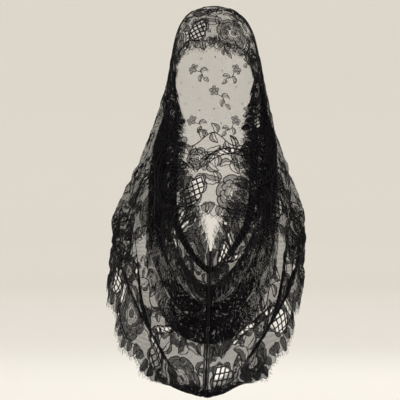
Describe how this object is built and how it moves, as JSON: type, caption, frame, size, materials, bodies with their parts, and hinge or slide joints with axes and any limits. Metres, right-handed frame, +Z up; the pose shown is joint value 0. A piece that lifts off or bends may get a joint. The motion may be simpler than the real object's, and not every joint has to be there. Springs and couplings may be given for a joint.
{
  "type": "lace mantilla veil",
  "caption": "Closed-loop lace veil for the head and shoulders: hooded crown, open face edge, pleated sides, swagged front with a middle seam, scalloped hem.",
  "frame": {"origin": "the inside of the crown, where the veil sits on top of the head", "axes": "+Z up, -Y the front with the open face and the seam, +X the wearer's left"},
  "size_m": [0.3854, 0.3051, 0.7544],
  "materials": {
    "lace": "matte",
    "seam_thread": "matte"
  },
  "bodies": {
    "root": {"lace_panel": "lace", "front_seam": "seam_thread"}
  },
  "joints": []
}
